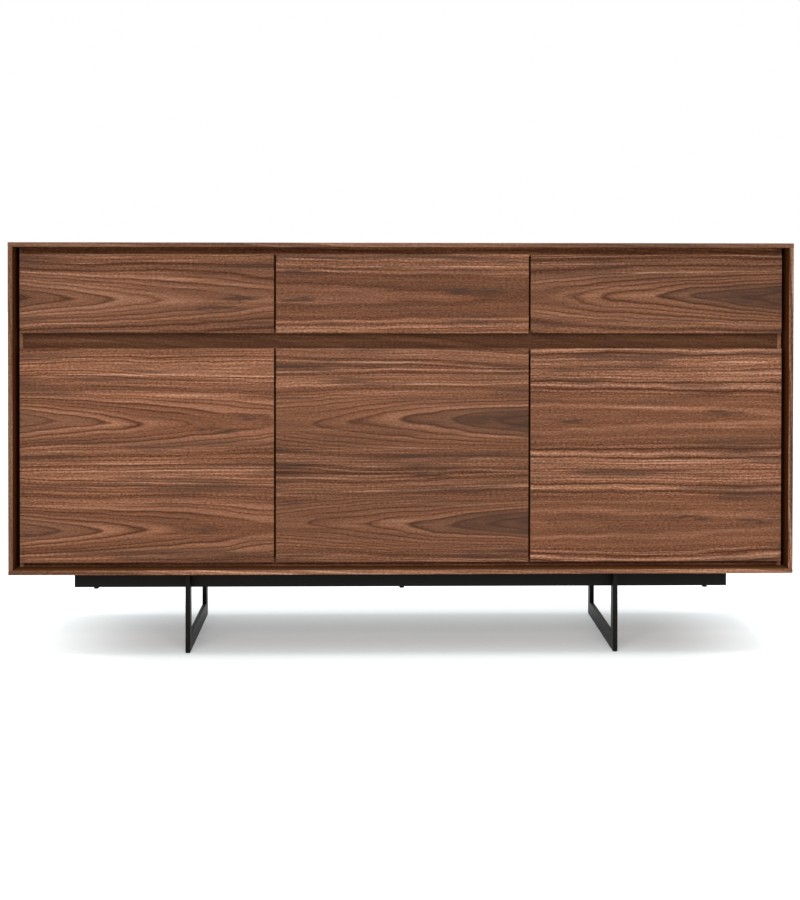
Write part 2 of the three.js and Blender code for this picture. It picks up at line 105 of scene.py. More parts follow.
class CredenzaSizes(bpy.types.PropertyGroup):
    """Sizes of the fittings that are added to the frame."""
    bolt_head: length("Bolt head", "Diameter of the bolt heads under the base rails", 0.0104)
    bolt_height: length("Bolt height", "Height of a bolt head", 0.0042)
    bolt_inset: length("Bolt inset", "Distance of the outer bolts from the rail's ends", 0.0410)
    bolts_per_rail: IntProperty(name="Bolts", description="Bolts under each base rail", min=2, default=3)
    washer: length("Washer", "Diameter of a bolt's washer", 0.0132)
    washer_height: length("Washer height", "Thickness of a bolt's washer", 0.0010)
    cap_plate: length("Cap plate", "Thickness of a tube cap outside the tube", 0.0016)
    cap_plug: length("Cap plug", "Length of a tube cap inside the tube", 0.0140)
    tube_wall: length("Tube wall", "Wall of the base rails", 0.0020)
    weld_bead: length("Weld bead", "Radius of a weld bead", 0.0021)
    weld_step: length("Weld step", "Distance between the ripples of a weld", 0.0019)
    screw_head: length("Screw head", "Diameter of a wood screw's head", 0.0064)
    screw_height: length("Screw height", "Height of a wood screw's head", 0.0014)
    slide_screw_height: length("Slide screw height", "Height of a screw head inside a slide", 0.00045)
    slide_screw_margin: length("Slide screw margin", "Screws from the ends of a slide", 0.0350)
    slide_steel: length("Slide steel", "Sheet of the slides", 0.00125)
    hinge_screw: length("Hinge screw", "Diameter of a sunk hinge screw's head", 0.0031)
    catch_width: length("Catch width", "Width of a magnetic door catch", 0.0400)
    catch_height: length("Catch height", "Height of a magnetic door catch", 0.0105)
    catch_inset: length("Catch inset", "Catch from the door's free edge", 0.0480)
    striker: length("Striker", "Thickness of a catch's plate on the door", 0.0010)
    dovetail: length("Dovetail", "Pitch of the dovetails of the drawer boxes", 0.0265)


def paint(name):
    """One of the finishes' colours."""
    return tuple(getattr(bpy.context.scene.credenza_colours, name))


def sizes():
    return bpy.context.scene.credenza_sizes


# Shader building

MIX_FIRST, MIX_SECOND, MIX_RESULT = 6, 7, 2  # sockets of a mix node's colours
SHADE_ENDS = (0.3, 0.7)  # ends of the noise that turns a colour into its shades


class Value:
    """A number that differs over a surface, for sums in Python's own signs."""

    def __init__(self, shade, socket):
        self.shade = shade
        self.socket = socket

    def __add__(self, other):
        return self.shade.math("ADD", self, other)

    def __sub__(self, other):
        return self.shade.math("SUBTRACT", self, other)

    def __rsub__(self, other):
        return self.shade.math("SUBTRACT", other, self)

    def __mul__(self, other):
        return self.shade.math("MULTIPLY", self, other)

    def __truediv__(self, other):
        return self.shade.math("DIVIDE", self, other)

    def __pow__(self, other):
        return self.shade.math("POWER", self, other)

    def __abs__(self):
        return self.shade.math("ABSOLUTE", self)


class Shader:
    """A material's node tree, with short calls that add a node and wire it."""

    def __init__(self, name):
        self.material = bpy.data.materials.new(name)
        self.material.use_nodes = True
        self.tree = self.material.node_tree
        self.surface = self.tree.nodes["Principled BSDF"]
        self.position = self.add("ShaderNodeTexCoord").outputs["Object"]

    def add(self, kind, **settings):
        node = self.tree.nodes.new(kind)
        for key, value in settings.items():
            setattr(node, key, value)
        return node

    def feed(self, socket, value):
        if isinstance(value, Value):
            value = value.socket
        if isinstance(value, bpy.types.NodeSocket):
            self.tree.links.new(value, socket)
        elif isinstance(value, tuple) and socket.type == "RGBA":
            socket.default_value = opaque(value)
        else:
            socket.default_value = value

    def math(self, operation, *values):
        node = self.add("ShaderNodeMath", operation=operation)
        for socket, value in zip(node.inputs, values):
            self.feed(socket, value)
        return Value(self, node.outputs[0])

    def axes(self, order):
        node = self.add("ShaderNodeSeparateXYZ")
        self.feed(node.inputs[0], self.position)
        return [Value(self, node.outputs[axis]) for axis in order]

    def vector(self, x, y, z):
        node = self.add("ShaderNodeCombineXYZ")
        for socket, value in zip(node.inputs, (x, y, z)):
            self.feed(socket, value)
        return node.outputs[0]

    def noise(self, vector, detail=2.0, roughness=0.5, scale=1.0):
        node = self.add("ShaderNodeTexNoise", noise_dimensions="3D")
        self.feed(node.inputs["Vector"], vector)
        node.inputs["Scale"].default_value = scale
        node.inputs["Detail"].default_value = detail
        node.inputs["Roughness"].default_value = roughness
        return Value(self, node.outputs["Fac"])

    def drawn(self, order, along, across, detail=2.0, roughness=0.5):
        """Noise drawn out along the first of three axes."""
        run, cross, deep = self.axes(order)
        space = self.vector(run * along, cross * across, deep * across)
        return self.noise(space, detail=detail, roughness=roughness)

    def bands(self, value, scale, seed, detail=1.0):
        """Uneven bands along one value."""
        node = self.add("ShaderNodeTexNoise", noise_dimensions="1D")
        self.feed(node.inputs["W"], value * scale + seed)
        node.inputs["Scale"].default_value = 1.0
        node.inputs["Detail"].default_value = detail
        return Value(self, node.outputs["Fac"])

    def ramp(self, factor, stops):
        """Steps from one colour or grey level to the next; a stop is its place and its colour or level."""
        node = self.add("ShaderNodeValToRGB")
        self.feed(node.inputs[0], factor)
        points = node.color_ramp.elements
        while len(points) < len(stops):
            points.new(1.0)
        for point, (place, value) in zip(points, stops):
            point.position = place
            point.color = opaque(value if isinstance(value, tuple) else (value, value, value))
        return Value(self, node.outputs["Color"])

    def shades(self, factor, colour, dark, light):
        """Darker and lighter shades of a colour, after a noise."""
        levels = zip(SHADE_ENDS, (dark, light))
        return self.ramp(factor, [(place, tuple(Vector(colour) * level)) for place, level in levels])

    def smooth(self, value, low, high, to_low=0.0, to_high=1.0):
        node = self.add("ShaderNodeMapRange", interpolation_type="SMOOTHSTEP")
        for socket, number in zip(node.inputs, (value, low, high, to_low, to_high)):
            self.feed(socket, number)
        return Value(self, node.outputs[0])

    def mix(self, factor, first, second, blend="MIX"):
        node = self.add("ShaderNodeMix", data_type="RGBA", blend_type=blend)
        self.feed(node.inputs[0], factor)
        self.feed(node.inputs[MIX_FIRST], first)
        self.feed(node.inputs[MIX_SECOND], second)
        return node.outputs[MIX_RESULT]

    def bump(self, height, distance, strength):
        node = self.add("ShaderNodeBump")
        node.inputs["Strength"].default_value = strength
        node.inputs["Distance"].default_value = distance
        self.feed(node.inputs["Height"], height)
        self.tree.links.new(node.outputs[0], self.surface.inputs["Normal"])

    def set(self, **values):
        for key, value in values.items():
            self.feed(self.surface.inputs[key.replace("_", " ")], value)

    def rough(self, value, change, level):
        """Roughness that changes from a level with a value."""
        self.set(Roughness=value * change + level)


# Walnut

WALNUT_TONES = ((0.05, "walnut_dark"), (0.28, "walnut_brown"), (0.50, "walnut_mid"),
                (0.74, "walnut_light"), (1.00, "walnut_pale"))
SATIN_SPECULAR = 0.10
SEED_TURN = 1.7  # seed across the grain, against the one along it
PATCH_RANGE = (0.25, 0.75)
PATCH_LEVELS = (0.86, 1.12)
# Width over which painted shade or painted light fades in behind a face
PAINTED_FACE_EDGE = 0.0005

# Growth rings, with distances in metres from the heart or beyond the first arch

RINGS_PER_METRE = 195.0
RING_SWAY = 0.030
RING_KINK = 0.0048
ARCH_POINT = 1.55  # 2 makes the arches round, and less makes them pointed
CROWN_TO_FLANK = (0.026, 0.074)
TIP_TO_ARM = (0.006, 0.030)
FLANK_LEAN = -0.55  # what the flanks add to the slope, as a share of it
ARCHES_END = (0.006, 0.014)
FAINT_ARCH = 0.12
UNEVEN_FROM = (0.010, 0.030)
UNEVEN_MOST = 2.0  # rings

# Tone: its course over one ring, and its middle in the crown and on the flanks

LATE_WOOD = ((0.0, 0.62), (0.14, 0.62), (0.50, 0.54), (0.70, 0.40), (0.84, 0.06), (1.0, 0.50))
MIDDLE_TONE = (0.50, 0.46)
GLEAM_RANGE = (0.56, 0.74, 0.5, 1.0)
PORE_RANGE = (0.60, 0.78)
PORE_TONE = -0.12

# Smoke: ranges give two values and the share at each

STREAK_RANGE = (0.48, 0.66)
STREAKS_ON_FLANK = (0.0, 0.6, 0.35, 1.0)
HEART_EDGE = (0.0009, 0.0001)  # where the heart wood fades, before and beyond the first arch
HEART_DEEP = 0.011
HEART_RIM = 0.45
MOTTLE_RANGE = (0.30, 0.60, 0.70, 1.0)
EYE_SIZE = (0.046, 0.0078)
EYE_RAGS = 7.0
EYE_RANGE = (-0.6, 1.5, 0.85, 0.0)


class Figure:
    """How one veneer is cut: the grain's axis, and where its arched figure lies."""

    def __init__(self, axes, heart, tip, slope, face, depth=0.075, core=0.0, leaf=0.216, seed=0.0, tone=1.0,
                 smoke=0.45, eyes=(), stain=None, painted_light=None, cast=(1.0, 1.0, 1.0), contrast=1.0):
        self.axes = axes            # along the grain, across it, and into the board
        self.heart = heart          # place of the arches' middle, across the grain
        self.tip = tip              # place along the grain where the cut runs at its depth from the pith
        self.slope = slope          # how fast the cut leaves the pith; its sign turns the arches
        self.face = face            # place of the face, into the board
        self.depth = depth          # distance of the cut from the pith
        self.core = core            # strength of the smoky heart wood behind the tip
        self.leaf = leaf            # width of one leaf of veneer
        self.seed = seed            # shifts the noise, so that no two boards are alike
        self.tone = tone            # lightness of the whole board
        self.smoke = smoke          # strength of the smoky streaks
        self.eyes = eyes            # places of dark ragged marks, along and across the grain
        self.stain = stain          # axis, place and side of a face darkened with painted shade, and the name of its colour
        self.painted_light = painted_light      # place along Y of a front edge lightened with painted light, and its gain
        self.cast = cast            # tint over the whole board
        self.contrast = contrast    # strength of all layers of the tone


def walnut(name, figure):
    """Figured walnut: growth rings cut along a leaning plane, with fibres, pores and smoky heart wood."""
    shade = Shader(name)
    along, across, inward = shade.axes(figure.axes)

    def grain(stretch, fine, detail, roughness=0.5):
        """Noise with so many cycles per metre along the grain, and across it."""
        across_seed = figure.seed * SEED_TURN
        space = shade.vector(along * stretch + figure.seed, across * fine + across_seed, inward * fine)
        return shade.noise(space, detail=detail, roughness=roughness)

    ring, flank, arms = growth_rings(shade, figure, along, across, inward, grain)
    tone, fibre, pores = ring_tone(shade, figure, ring, flank, arms, grain)
    colour = shade.ramp(tone, [(place, paint(key)) for place, key in WALNUT_TONES])
    colour = shade.mix(smoke(shade, figure, ring, flank, grain), colour, paint("walnut_smoke"))
    levels = [level * figure.tone for level in PATCH_LEVELS]
    patch = shade.smooth(grain(1.3, 5.0, detail=1.0), *PATCH_RANGE, *levels)
    patches = [patch * level for level in figure.cast]
    colour = shade.mix(1.0, colour, shade.vector(*patches), "MULTIPLY")
    # Painted shade: a face darkened to a dark colour, standing for the shade that falls on it
    if figure.stain:
        *face, stain = figure.stain
        colour = shade.mix(on_face(shade, *face), colour, paint(stain))
    # Painted light: a front edge lightened, standing for the light that falls on it
    if figure.painted_light:
        place, lift = figure.painted_light
        painted_light_colour = shade.mix(1.0, colour, lift, "MULTIPLY")
        colour = shade.mix(on_face(shade, "Y", place, -1), colour, painted_light_colour)

    shade.set(Base_Color=colour, Specular_IOR_Level=SATIN_SPECULAR)
    shade.rough(tone, change=-0.14, level=0.62)
    shade.bump(fibre - pores, distance=0.00012, strength=0.5)
    return shade.material


def growth_rings(shade, figure, along, across, inward, grain):
    """Distance from the pith in a log whose axis leans against the cut, so that its rings show as arches.

    Two measures come with it: from 0 in the arched crown to 1 on the straight flanks, and from 0 at the
    arches' tips to 1 on their arms.
    """
    sway = grain(2.2, 9.0, detail=1.0) - 0.5
    kink = grain(12.0, 30.0, detail=1.0) - 0.5
    in_leaf = shade.math("WRAP", across - figure.heart, figure.leaf / 2, -figure.leaf / 2)
    offset = abs(sway * RING_SWAY + in_leaf)
    flank = shade.smooth(offset, *CROWN_TO_FLANK)
    lean = flank * (FLANK_LEAN * figure.slope) + figure.slope
    depth = (along - figure.tip) * lean + figure.depth + (inward - figure.face)
    ring = (offset ** ARCH_POINT + abs(depth) ** ARCH_POINT) ** (1.0 / ARCH_POINT)
    arms = shade.smooth(offset, *TIP_TO_ARM) if figure.core else flank
    return kink * RING_KINK + ring, flank, arms


def ring_tone(shade, figure, ring, flank, arms, grain):
    """Light and dark of the growth rings, fibres and pores, about a middle of one half."""
    def bands(per_metre, shift, detail=1.0):
        return shade.bands(ring, per_metre, figure.seed + shift, detail)

    beyond = ring - figure.depth
    uneven = (bands(62.0, shift=3.1) - 0.5) * shade.smooth(beyond, *UNEVEN_FROM, 0.0, UNEVEN_MOST)
    count = beyond * RINGS_PER_METRE + uneven
    arches = shade.smooth(beyond, *ARCHES_END, 1.0, FAINT_ARCH) if figure.core else FAINT_ARCH
    late_wood = shade.ramp(shade.math("FRACT", count), LATE_WOOD) - 0.5
    late_wood = late_wood * shade.math("MAXIMUM", arches, arms) + 0.5
    own = shade.add("ShaderNodeTexWhiteNoise", noise_dimensions="1D")
    shade.feed(own.inputs["W"], shade.math("FLOOR", count) + figure.seed)
    own_tone = Value(shade, own.outputs["Value"])
    broad = bands(40.0, shift=11.0)
    line = bands(180.0, shift=23.0, detail=2.0)
    fibre = grain(5.0, 330.0, detail=3.0, roughness=0.62)
    gleam = shade.smooth(grain(2.6, 130.0, detail=2.0), *GLEAM_RANGE)
    flecks = grain(170.0, 340.0, detail=2.0, roughness=0.6)
    pores = shade.smooth(grain(60.0, 1300.0, detail=1.0), *PORE_RANGE)
    # Each layer has its strength in the crown, and on the flanks
    layers = ((late_wood, 0.85, 0.62), (own_tone, 0.06, 0.10), (broad, 0.45, 0.80), (line, 0.40, 1.10),
              (fibre, 0.48, 0.95), (gleam, 0.30, 0.65), (flecks, 0.80, 1.10))
    tone = shade.smooth(flank, 0.0, 1.0, *MIDDLE_TONE)
    for layer, in_crown, on_flank in layers:
        strength = shade.smooth(flank, 0.0, 1.0, in_crown * figure.contrast, on_flank * figure.contrast)
        tone = (layer - 0.5) * strength + tone
    return pores * PORE_TONE + tone, fibre, pores


def smoke(shade, figure, ring, flank, grain):
    """Share of smoke: the heart wood behind the tip, long streaks on the flanks, and ragged eyes."""
    streaks = shade.smooth(grain(3.2, 44.0, detail=4.0, roughness=0.6), *STREAK_RANGE, 0.0, figure.smoke)
    share = streaks * shade.smooth(flank, *STREAKS_ON_FLANK)
    if figure.core:
        before, after = HEART_EDGE
        inside = shade.smooth(ring, figure.depth - before, figure.depth + after, 1.0, 0.0)
        rim = figure.core * HEART_RIM
        deep = shade.smooth(ring, figure.depth - HEART_DEEP, figure.depth, figure.core, rim)
        mottle = shade.smooth(grain(9.0, 60.0, detail=2.0), *MOTTLE_RANGE)
        share = shade.math("MAXIMUM", share, inside * deep * mottle)
    if figure.eyes:
        rags = grain(32.0, 210.0, detail=4.0, roughness=0.65) - 0.5
        along, across = shade.axes(figure.axes[:2])
    for place, height in figure.eyes:
        wide = ((along - place) / EYE_SIZE[0]) ** 2.0
        tall = ((across - height) / EYE_SIZE[1]) ** 2.0
        reach = rags * EYE_RAGS + (wide + tall)
        share = shade.math("MAXIMUM", share, shade.smooth(reach, *EYE_RANGE))
    return share


def on_face(shade, axis, place, looks_to):
    """1 on the face at a place along an axis, and 0 behind it; looks_to is the face's side, +1 or -1."""
    value, = shade.axes(axis)
    ends = sorted((place, place - looks_to * PAINTED_FACE_EDGE))
    levels = (0.0, 1.0) if looks_to > 0 else (1.0, 0.0)
    return shade.smooth(value, *ends, *levels)


# Other finishes

BOX_WALL = 0.012
HARDWOOD_TONES = ((0.48, "box_wood_dark"), (0.92, "box_wood"))
HARDWOOD_STREAKS = {"along": 4.0, "across": 90.0, "detail": 4.0, "roughness": 0.6}
CLOUDS_SHOWN = 0.4
STREAKS_SHOWN = 1.1
END_GRAIN = (0.75, 0.72)  # share of the end grain, and its shade of the dark wood
SEAM = (0.8, 0.25)
SEAM_HALF = 0.0003
SIDE_SKIN = 0.0005
PIN_HALF = 0.25  # in pitches, at the box's end
PIN_NARROWS = 0.13


def pale_hardwood(name, box=None):
    """Clear pale hardwood with its grain along X, or along the walls of a box, which is dovetailed."""
    shade = Shader(name)
    streak = shade.drawn("XYZ", **HARDWOOD_STREAKS)
    if box:
        turned = shade.drawn("YXZ", **HARDWOOD_STREAKS) - streak
        streak = turned * in_side_walls(shade, *box, BOX_WALL) + streak
    cloud = shade.noise(shade.position, scale=5.0)
    tone = cloud * CLOUDS_SHOWN + streak * STREAKS_SHOWN
    colour = shade.ramp(tone, [(place, paint(key)) for place, key in HARDWOOD_TONES])
    if box:
        dark = Vector(paint("box_wood_dark"))
        for mask, (share, level) in zip(dovetails(shade, *box), (END_GRAIN, SEAM)):
            colour = shade.mix(mask * share, colour, tuple(dark * level))
    shade.set(Base_Color=colour)
    shade.rough(streak, change=0.2, level=0.42)
    shade.bump(streak, distance=0.00008, strength=0.4)
    return shade.material


def in_side_walls(shade, low, high, thickness):
    """1 within a thickness of a box's left and right faces, and 0 between them."""
    x, = shade.axes("X")
    return shade.math("GREATER_THAN", abs(x - (low.x + high.x) / 2), (high.x - low.x) / 2 - thickness)


def dovetails(shade, low, high):
    """Masks of the pins and of the seams round them, at both ends of a drawer box's outer side walls."""
    pitch = sizes().dovetail
    y, z = shade.axes("YZ")
    from_end = shade.math("MINIMUM", y - low.y, high.y - y)
    on_side = in_side_walls(shade, low, high, SIDE_SKIN)
    in_joint = on_side * shade.math("LESS_THAN", from_end, BOX_WALL)
    turn = shade.math("FRACT", (z - low.z) / pitch)
    beside = abs(turn - 0.5) - (from_end * (-PIN_NARROWS / BOX_WALL) + PIN_HALF)
    pins = in_joint * shade.math("LESS_THAN", beside, 0.0)
    beside_pins = in_joint * shade.math("LESS_THAN", abs(beside), SEAM_HALF / pitch)
    behind_pins = on_side * shade.math("COMPARE", from_end, BOX_WALL, SEAM_HALF)
    return pins, shade.math("MAXIMUM", beside_pins, behind_pins)


def powder_coat(name):
    """Satin black powder coat with a fine orange-peel surface."""
    shade = Shader(name)
    peel = shade.noise(shade.position, scale=1400.0)
    cloud = shade.noise(shade.position, detail=3.0, scale=9.0)
    colour = shade.shades(cloud, paint("black_steel"), dark=0.86, light=1.14)
    shade.set(Base_Color=colour, Specular_IOR_Level=SATIN_SPECULAR)
    shade.rough(cloud, change=0.14, level=0.44)
    shade.bump(peel, distance=0.00006, strength=0.35)
    return shade.material


def plated(name, order="YXZ"):
    """Bright zinc plate, drawn along the first of three axes."""
    shade = Shader(name)
    lines = shade.drawn(order, along=6.0, across=1600.0)
    cloud = shade.noise(shade.position, detail=3.0, scale=30.0)
    colour = shade.shades(cloud, paint("plated_steel"), dark=0.9, light=1.06)
    shade.set(Base_Color=colour, Metallic=1.0)
    shade.rough(lines, change=0.22, level=0.22)
    shade.bump(lines, distance=0.00003, strength=0.25)
    return shade.material


def moulded_plastic(name):
    """Matte black moulded plastic."""
    shade = Shader(name)
    grit = shade.noise(shade.position, scale=1800.0)
    shade.set(Base_Color=shade.shades(grit, paint("black_plastic"), dark=0.9, light=1.1))
    shade.rough(grit, change=0.15, level=0.48)
    shade.bump(grit, distance=0.00004, strength=0.3)
    return shade.material


def dress(material, *names):
    """Gives the CAD nodes of these names one finish."""
    for name in names:
        mesh = NODES[name].data
        mesh.materials.clear()
        mesh.materials.append(material)


# Modelling with operators

RIGHT = Vector((1.0, 0.0, 0.0))
BACK = Vector((0.0, 1.0, 0.0))
UP = Vector((0.0, 0.0, 1.0))
FACING = 0.9  # least cosine between a face's normal and the direction it looks in
SAME_LEVEL = 0.00001
BEVEL_ANGLE = math.radians(40.0)
SMOOTH_ANGLE = math.radians(35.0)


def fresh():
    if bpy.context.object and bpy.context.object.mode != "OBJECT":
        bpy.ops.object.mode_set(mode="OBJECT")
    bpy.ops.object.select_all(action="DESELECT")


def active():
    return bpy.context.view_layer.objects.active


def settled(name, scale=(1.0, 1.0, 1.0)):
    """Names the new piece and puts its place and scale into its mesh."""
    piece = active()
    piece.name = name
    piece.scale = scale
    bpy.ops.object.transform_apply(location=True, rotation=True, scale=True)
    return piece


def cylinder(name, radius, low, high, sides=32):
    """An upright cylinder on the Z axis, from one height to another."""
    fresh()
    bpy.ops.mesh.primitive_cylinder_add(vertices=sides, radius=radius, depth=high - low,
                                        location=(0.0, 0.0, (low + high) / 2))
    return settled(name)


def block(name, low, high):
    """A box between two corners."""
    fresh()
    low, high = Vector(low), Vector(high)
    bpy.ops.mesh.primitive_cube_add(size=1.0, location=(low + high) / 2)
    return settled(name, high - low)


def edit_faces(piece, direction):
    """Opens edit mode with the outermost faces that look in a direction selected."""
    bpy.ops.object.mode_set(mode="EDIT")
    bpy.ops.mesh.select_mode(type="FACE")
    bpy.ops.mesh.select_all(action="DESELECT")
    bpy.ops.object.mode_set(mode="OBJECT")
    least = max(face.center.dot(direction) for face in piece.data.polygons) - SAME_LEVEL
    for face in piece.data.polygons:
        face.select = face.normal.dot(direction) > FACING and face.center.dot(direction) > least
    bpy.ops.object.mode_set(mode="EDIT")


def step(piece, direction, inset, height):
    """Insets the outermost face that looks in a direction and draws it out."""
    edit_faces(piece, direction)
    bpy.ops.mesh.inset(thickness=inset)
    bpy.ops.mesh.extrude_region_move(TRANSFORM_OT_translate={"value": direction * height})
    bpy.ops.object.mode_set(mode="OBJECT")


def apply(piece, kind, **settings):
    """Adds a modifier with these settings and applies it."""
    fresh()
    change = piece.modifiers.new("change", kind)
    for key, value in settings.items():
        setattr(change, key, value)
    bpy.context.view_layer.objects.active = piece
    piece.select_set(True)
    bpy.ops.object.modifier_apply(modifier=change.name)


def subtract(piece, cutter):
    """Cuts a piece with another one, which is used up."""
    apply(piece, "BOOLEAN", operation="DIFFERENCE", solver="EXACT", object=cutter)
    bpy.data.objects.remove(cutter, do_unlink=True)


def soften(piece, width):
    """Rounds the edges of a piece and shades it smoothly between them."""
    apply(piece, "BEVEL", width=width, segments=2, limit_method="ANGLE", angle_limit=BEVEL_ANGLE)
    bpy.ops.object.shade_smooth_by_angle(angle=SMOOTH_ANGLE)


def looking(place, direction):
    """The matrix that takes a model which looks up to a place, looking in a direction."""
    return Matrix.Translation(place) @ UP.rotation_difference(direction).to_matrix().to_4x4()


def copies(model, name, matrices):
    """One piece made of a model's copies, each with its own mesh; the model is used up."""
    fresh()
    for matrix in matrices:
        twin = model.copy()
        twin.data = model.data.copy()
        twin.data.transform(matrix)
        bpy.context.scene.collection.objects.link(twin)
        twin.select_set(True)
        bpy.context.view_layer.objects.active = twin
    bpy.data.objects.remove(model, do_unlink=True)
    if len(matrices) > 1:
        bpy.ops.object.join()
    piece = active()
    piece.name = name
    piece.data.name = name
    return piece


def fit(piece, material, body):
    """Finishes a piece and lets it ride on a body."""
    piece.data.materials.clear()
    piece.data.materials.append(material)
    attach(piece, body)


def spread(first, last, count):
    return [first + (last - first) * index / (count - 1) for index in range(count)]


def x_end(box, hand):
    """A box's right end along X where hand is +1, or its left end where it is -1."""
    low, high = box
    return high.x if hand > 0 else low.x


# Photo stage

PHOTO_SIZE = (800, 900)
PICTURE_CENTRE = (404.30, 294.32)
FOCAL_PIXELS = 1678.0
CAMERA_PLACE = (-0.075, -3.63808, 0.781)
CAMERA_YAW = math.radians(1.309)
CAMERA_PITCH = math.radians(0.721)
CAMERA_ROLL = math.radians(0.067)
SENSOR = 36.0
FLOOR_SIZE = 60.0
# Painted light on the floor: a cool tinted glow, weakest over a core under the case and rising to full white
# beyond it
GLOW_TINT = (0.92, 0.985, 1.0)
GLOW_NEAR = 0.205
SHADOW_MIDDLE = (0.0215, -0.050)
SHADOW_CORE = (0.4885, 0.004)
SHADOW_FADE = (0.467, 0.560)
OVERHEAD = {"place": (0.0, 0.0, 6.0), "target": (0.0, 0.0, 0.0), "size": (4.6, 3.4), "power": 215.0}
FRONT = {"place": (-0.3, -4.8, 2.5), "target": (0.0, 0.0, 0.45), "size": (4.2, 2.2), "power": 178.0}
WORLD_LIGHT = 0.24
WORLD_SEEN = 1.0


class CREDENZA_OT_stage(bpy.types.Operator):
    """Sets the camera, the pale floor and the soft studio light"""
    bl_idname = "credenza.stage"
    bl_label = "Photo Stage"

    def execute(self, context):
        place_camera(context.scene)
        lay_floor()
        area_light("overhead", **OVERHEAD)
        area_light("front", **FRONT)
        light_world(context.scene)
        return {"FINISHED"}


def place_camera(scene):
    data = bpy.data.cameras.new("photo_camera")
    longest = max(PHOTO_SIZE)
    data.sensor_fit = "AUTO"
    data.sensor_width = SENSOR
    data.lens = FOCAL_PIXELS * SENSOR / longest
    data.shift_x = (PHOTO_SIZE[0] / 2 - PICTURE_CENTRE[0]) / longest
    data.shift_y = (PICTURE_CENTRE[1] - PHOTO_SIZE[1] / 2) / longest
    data.dof.use_dof = False
    camera = bpy.data.objects.new("photo_camera", data)
    camera.matrix_world = (Matrix.Translation(CAMERA_PLACE) @ Matrix.Rotation(-CAMERA_YAW, 4, "Z")
                           @ Matrix.Rotation(math.pi / 2 - CAMERA_PITCH, 4, "X")
                           @ Matrix.Rotation(CAMERA_ROLL, 4, "Z"))
    scene.collection.objects.link(camera)
    scene.camera = camera


def lay_floor():
    fresh()
    bpy.ops.mesh.primitive_plane_add(size=FLOOR_SIZE, location=(0.0, 0.0, 0.0))
    floor = active()
    floor.name = "floor"
    shade = Shader("pale_floor")
    shade.set(Base_Color=paint("floor"), Roughness=0.9, Specular_IOR_Level=0.1)
    shade.set(Emission_Color=GLOW_TINT, Emission_Strength=floor_glow(shade))
    floor.data.materials.append(shade.material)


def floor_glow(shade):
    """Painted light: a glow that lifts the floor to white as seen, more with distance from the case, and
    leaves the rendered shadow under the case, whose outline the glow draws.
    """
    squares = []
    for value, middle, core, fade in zip(shade.axes("XY"), SHADOW_MIDDLE, SHADOW_CORE, SHADOW_FADE):
        beyond = shade.math("MAXIMUM", abs(value - middle) - core, 0.0)
        squares.append((beyond / fade) ** 2.0)
    distance = shade.math("SQRT", squares[0] + squares[1])
    return shade.smooth(distance, 0.0, 1.0, GLOW_NEAR, 1.0) * seen_directly(shade.tree)


def seen_directly(tree):
    """1 for rays that show the background in the picture, in metal or through glass, and 0 for its light."""
    rays = tree.nodes.new("ShaderNodeLightPath")
    share = rays.outputs["Is Camera Ray"]
    for name in ("Is Glossy Ray", "Is Transmission Ray"):
        larger = tree.nodes.new("ShaderNodeMath")
        larger.operation = "MAXIMUM"
        tree.links.new(share, larger.inputs[0])
        tree.links.new(rays.outputs[name], larger.inputs[1])
        share = larger.outputs[0]
    return share


def area_light(name, place, target, size, power):
    data = bpy.data.lights.new(name, "AREA")
    data.shape = "RECTANGLE"
    data.size, data.size_y = size
    data.energy = power
    lamp = bpy.data.objects.new(name, data)
    lamp.location = place
    lamp.rotation_euler = (Vector(target) - Vector(place)).to_track_quat("-Z", "Y").to_euler()
    bpy.context.scene.collection.objects.link(lamp)


def light_world(scene):
    """Lights the object softly from all sides, and shows white where the world itself is seen."""
    world = bpy.data.worlds.new("studio")
    world.use_nodes = True
    scene.world = world
    tree = world.node_tree
    background = tree.nodes["Background"]
    background.inputs["Color"].default_value = (1.0, 1.0, 1.0, 1.0)
    level = tree.nodes.new("ShaderNodeMapRange")
    level.inputs["To Min"].default_value = WORLD_LIGHT
    level.inputs["To Max"].default_value = WORLD_SEEN
    tree.links.new(seen_directly(tree), level.inputs["Value"])
    tree.links.new(level.outputs[0], background.inputs["Strength"])
    scene.view_settings.view_transform = "Standard"


# Finishes of the CAD nodes

ARCHED = 0.055  # slope of a cut with arches on its face
STRAIGHT = {"slope": 0.01, "depth": 0.20}
INNER_BOARD = {"axes": "XYZ", "heart": 0.0, "tip": -0.5, "slope": 0.05, "face": 0.2}
INNER_WALL = {"axes": "ZYX", "heart": 0.0, "tip": 0.3, "slope": 0.06, "face": 0.0, "tone": 0.9}
# Painted shade: a warm tint on the finger rail, for the bounce light in the shaded channel
RAIL_SHADE_TINT = (1.0, 0.90, 0.74)
FRAME_CUT = {"slope": 0.08, "leaf": 0.30, "cast": (1.0, 1.12, 1.20)}
# Painted light: gains that lighten the front edges of the inner top and bottom and of the stiles, the first
# two warm for bounce light in the gaps
TOP_PAINTED_LIGHT = (1.94, 1.75, 1.44)
BOTTOM_PAINTED_LIGHT = (1.44, 1.30, 1.19)
STILE_PAINTED_LIGHT = (2.06, 2.30, 2.47)


class CREDENZA_OT_fronts(bpy.types.Operator):
    """Veneers the drawer fronts and doors, each with its own cut of walnut"""
    bl_idname = "credenza.fronts"
    bl_label = "Veneered Fronts"

    def execute(self, context):
        veneer(front_figures())
        return {"FINISHED"}


def veneer(figures):
    """Gives each named node a walnut of its own."""
    for name, figure in figures.items():
        dress(walnut("walnut_" + name, figure), name)


